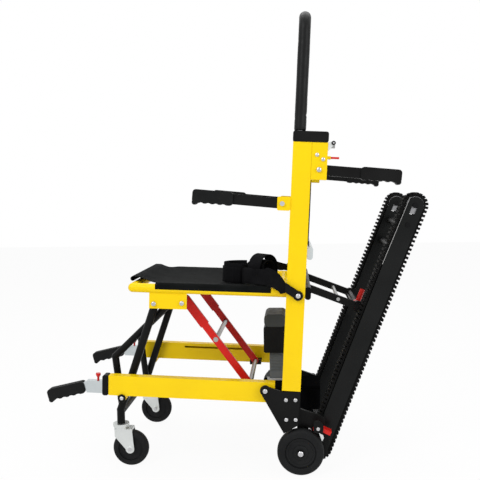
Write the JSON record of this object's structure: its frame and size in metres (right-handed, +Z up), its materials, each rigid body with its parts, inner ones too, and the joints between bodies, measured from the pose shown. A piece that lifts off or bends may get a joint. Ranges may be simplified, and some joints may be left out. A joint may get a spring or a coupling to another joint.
{
  "type": "stair climbing wheelchair",
  "caption": "Folding chair on casters and small rear wheels, with powered crawler belts behind it, pull-out carry handles and a sliding lift bar for moving a seated person on stairs.",
  "frame": {"origin": "on the floor, in the middle of the length and the width", "axes": "+X to the rear, +Y to the passenger's right, +Z up"},
  "size_m": [1.0383, 0.5116, 1.2278],
  "materials": {
    "paint_yellow": "satin powder coat",
    "paint_black": "satin powder coat",
    "plastic_black": "moulded",
    "fabric_black": "woven",
    "webbing": "ribbed weave",
    "grey_metal": "brushed",
    "grey_plastic": "moulded",
    "motor_grey": "satin",
    "bolt_steel": "zinc plated",
    "zinc": "zinc plated",
    "tread": "matt",
    "silver": "satin anodised",
    "grip_rubber": "matt",
    "red_plastic": "gloss",
    "red_paint": "gloss powder coat",
    "tube_steel": "drawn",
    "foam": "closed cell foam",
    "track_black": "satin",
    "track_rubber": "matt",
    "track_steel": "satin",
    "drum_alloy": "turned"
  },
  "bodies": {
    "frame": {"uprights": "paint_yellow", "side_plates": "paint_black", "rear_brackets": "paint_black", "head_boxes": "paint_yellow", "head_caps": "plastic_black", "back_bars": "silver", "backrest_sling": "fabric_black", "arm_brackets": "paint_yellow", "stay_arms": "paint_black", "stay_rod": "grey_metal", "battery_box": "plastic_black", "battery_lid": "grey_plastic", "drive_motor": "motor_grey", "frame_bolts": "bolt_steel"},
    "seat": {"seat_frame": "paint_yellow", "seat_sling": "fabric_black", "lap_belt": "webbing", "belt_buckle": "plastic_black", "belt_anchors": "paint_black", "seat_bolts": "bolt_steel"},
    "rails": {"base_rails": "paint_yellow", "rail_caps": "plastic_black", "brace_catches": "paint_black"},
    "legs": {"front_legs": "paint_black", "calf_frame": "paint_black"},
    "brace": {"brace_bars": "red_paint", "brace_rods": "grey_metal"},
    "lift": {"lift_tubes": "tube_steel", "lift_sleeve": "foam"},
    "clamp": {"clamp_lever": "grey_metal"},
    "release": {"release_lever": "red_plastic"},
    "track": {"track_plates": "track_black", "track_belts": "track_rubber", "track_bars": "track_steel"},
    "drive": {"drive_drums": "drum_alloy"},
    "idler": {"idler_drums": "drum_alloy"},
    "latch": {"track_latch": "red_plastic"},
    "caster_left": {"caster_fork_left": "zinc"},
    "caster_wheel_left": {"caster_wheel_left": "tread"},
    "rear_wheel_left": {"rear_wheel_left": "tread"},
    "carry_left": {"carry_tube_left": "silver", "carry_grip_left": "grip_rubber"},
    "knob_left": {"lock_knob_left": "red_plastic"},
    "arm_left": {"arm_tube_left": "plastic_black", "arm_grip_left": "grip_rubber"},
    "push_left": {"push_tube_left": "plastic_black", "push_grip_left": "plastic_black"},
    "pedal_left": {"brake_pedal_left": "red_plastic"},
    "caster_right": {"caster_fork_right": "zinc"},
    "caster_wheel_right": {"caster_wheel_right": "tread"},
    "rear_wheel_right": {"rear_wheel_right": "tread"},
    "carry_right": {"carry_tube_right": "silver", "carry_grip_right": "grip_rubber"},
    "knob_right": {"lock_knob_right": "red_plastic"},
    "arm_right": {"arm_tube_right": "plastic_black", "arm_grip_right": "grip_rubber"},
    "push_right": {"push_tube_right": "plastic_black", "push_grip_right": "plastic_black"},
    "pedal_right": {"brake_pedal_right": "red_plastic"}
  },
  "joints": [
    {"name": "seat_fold", "type": "hinge", "parent": "frame", "child": "seat", "pos_m": [0.17081, 0, 0.4862], "axis": [0, 1, 0], "range_deg": [0, 91], "deforming": ["lap_belt", "belt_buckle"]},
    {"name": "rail_fold", "type": "hinge", "parent": "frame", "child": "rails", "pos_m": [0.08081, 0, 0.2312], "axis": [0, 1, 0], "range_deg": [0, 91]},
    {"name": "leg_fold", "type": "hinge", "parent": "seat", "child": "legs", "pos_m": [-0.22056, 0, 0.45989], "axis": [0, 1, 0], "range_deg": [-91, 0]},
    {"name": "brace_fold", "type": "hinge", "parent": "seat", "child": "brace", "pos_m": [-0.14346, 0, 0.46079], "axis": [0, 1, 0], "range_deg": [-45.5, 0]},
    {"name": "caster_swivel_left", "type": "hinge", "parent": "legs", "child": "caster_left", "pos_m": [-0.32741, -0.178, 0.12], "axis": [0, 0, 1], "continuous": true},
    {"name": "caster_spin_left", "type": "hinge", "parent": "caster_left", "child": "caster_wheel_left", "pos_m": [-0.30041, -0.178, 0.05], "axis": [0, 1, 0], "continuous": true},
    {"name": "wheel_spin_left", "type": "hinge", "parent": "frame", "child": "rear_wheel_left", "pos_m": [0.17259, -0.228, 0.0625], "axis": [0, 1, 0], "continuous": true},
    {"name": "carry_slide_left", "type": "slide", "parent": "rails", "child": "carry_left", "axis": [-0.9992, 0, 0.0401], "range_m": [0, 0.11]},
    {"name": "knob_lift_left", "type": "slide", "parent": "carry_left", "child": "knob_left", "axis": [0.0401, 0, 0.9992], "range_m": [0, 0.006], "stiffness_N_per_m": 900, "springref_m": -0.004},
    {"name": "armrest_left", "type": "hinge", "parent": "frame", "child": "arm_left", "pos_m": [0.1326, -0.2355, 0.7268], "axis": [0, 1, 0], "range_deg": [0, 84]},
    {"name": "push_handle_left", "type": "hinge", "parent": "frame", "child": "push_left", "pos_m": [0.22819, -0.228, 0.81244], "axis": [0, 1, 0], "range_deg": [0, 72]},
    {"name": "brake_pedal_left", "type": "hinge", "parent": "frame", "child": "pedal_left", "pos_m": [0.21959, -0.22, 0.128], "axis": [0, 1, 0], "range_deg": [0, 12]},
    {"name": "caster_swivel_right", "type": "hinge", "parent": "legs", "child": "caster_right", "pos_m": [-0.32741, 0.178, 0.12], "axis": [0, 0, 1], "continuous": true},
    {"name": "caster_spin_right", "type": "hinge", "parent": "caster_right", "child": "caster_wheel_right", "pos_m": [-0.30041, 0.178, 0.05], "axis": [0, 1, 0], "continuous": true},
    {"name": "wheel_spin_right", "type": "hinge", "parent": "frame", "child": "rear_wheel_right", "pos_m": [0.17259, 0.228, 0.0625], "axis": [0, 1, 0], "continuous": true},
    {"name": "carry_slide_right", "type": "slide", "parent": "rails", "child": "carry_right", "axis": [-0.9992, 0, 0.0401], "range_m": [0, 0.11]},
    {"name": "knob_lift_right", "type": "slide", "parent": "carry_right", "child": "knob_right", "axis": [0.0401, 0, 0.9992], "range_m": [0, 0.006], "stiffness_N_per_m": 900, "springref_m": -0.004},
    {"name": "armrest_right", "type": "hinge", "parent": "frame", "child": "arm_right", "pos_m": [0.1326, 0.2355, 0.7268], "axis": [0, 1, 0], "range_deg": [0, 84]},
    {"name": "push_handle_right", "type": "hinge", "parent": "frame", "child": "push_right", "pos_m": [0.22819, 0.228, 0.81244], "axis": [0, 1, 0], "range_deg": [0, 72]},
    {"name": "brake_pedal_right", "type": "hinge", "parent": "frame", "child": "pedal_right", "pos_m": [0.21959, 0.22, 0.128], "axis": [0, 1, 0], "range_deg": [0, 12]},
    {"name": "lift_slide", "type": "slide", "parent": "frame", "child": "lift", "axis": [0.0576, 0, 0.9983], "range_m": [0, 0.16]},
    {"name": "clamp_lever_turn", "type": "hinge", "parent": "frame", "child": "clamp", "pos_m": [0.25656, -0.228, 0.87191], "axis": [0, 1, 0], "range_deg": [0, 50]},
    {"name": "release_lever_turn", "type": "hinge", "parent": "frame", "child": "release", "pos_m": [0.25489, -0.228, 0.84295], "axis": [0, 1, 0], "range_deg": [-8, 25]},
    {"name": "track_deploy", "type": "hinge", "parent": "frame", "child": "track", "pos_m": [0.22459, 0, 0.056], "axis": [0, 1, 0], "range_deg": [0, 35]},
    {"name": "drive_spin", "type": "hinge", "parent": "frame", "child": "drive", "pos_m": [0.22459, 0, 0.056], "axis": [0, 1, 0], "continuous": true},
    {"name": "idler_spin", "type": "hinge", "parent": "track", "child": "idler", "pos_m": [0.48292, 0, 0.71519], "axis": [0, 1, 0], "continuous": true},
    {"name": "track_latch_turn", "type": "hinge", "parent": "track", "child": "latch", "pos_m": [0.33556, -0.098, 0.43783], "axis": [0, 1, 0], "range_deg": [0, 25]}
  ],
  "couplings": [
    {"joint": "rail_fold", "follows": "seat_fold", "ratio": 1},
    {"joint": "leg_fold", "follows": "seat_fold", "ratio": -1},
    {"joint": "brace_fold", "follows": "seat_fold", "ratio": -0.5}
  ]
}
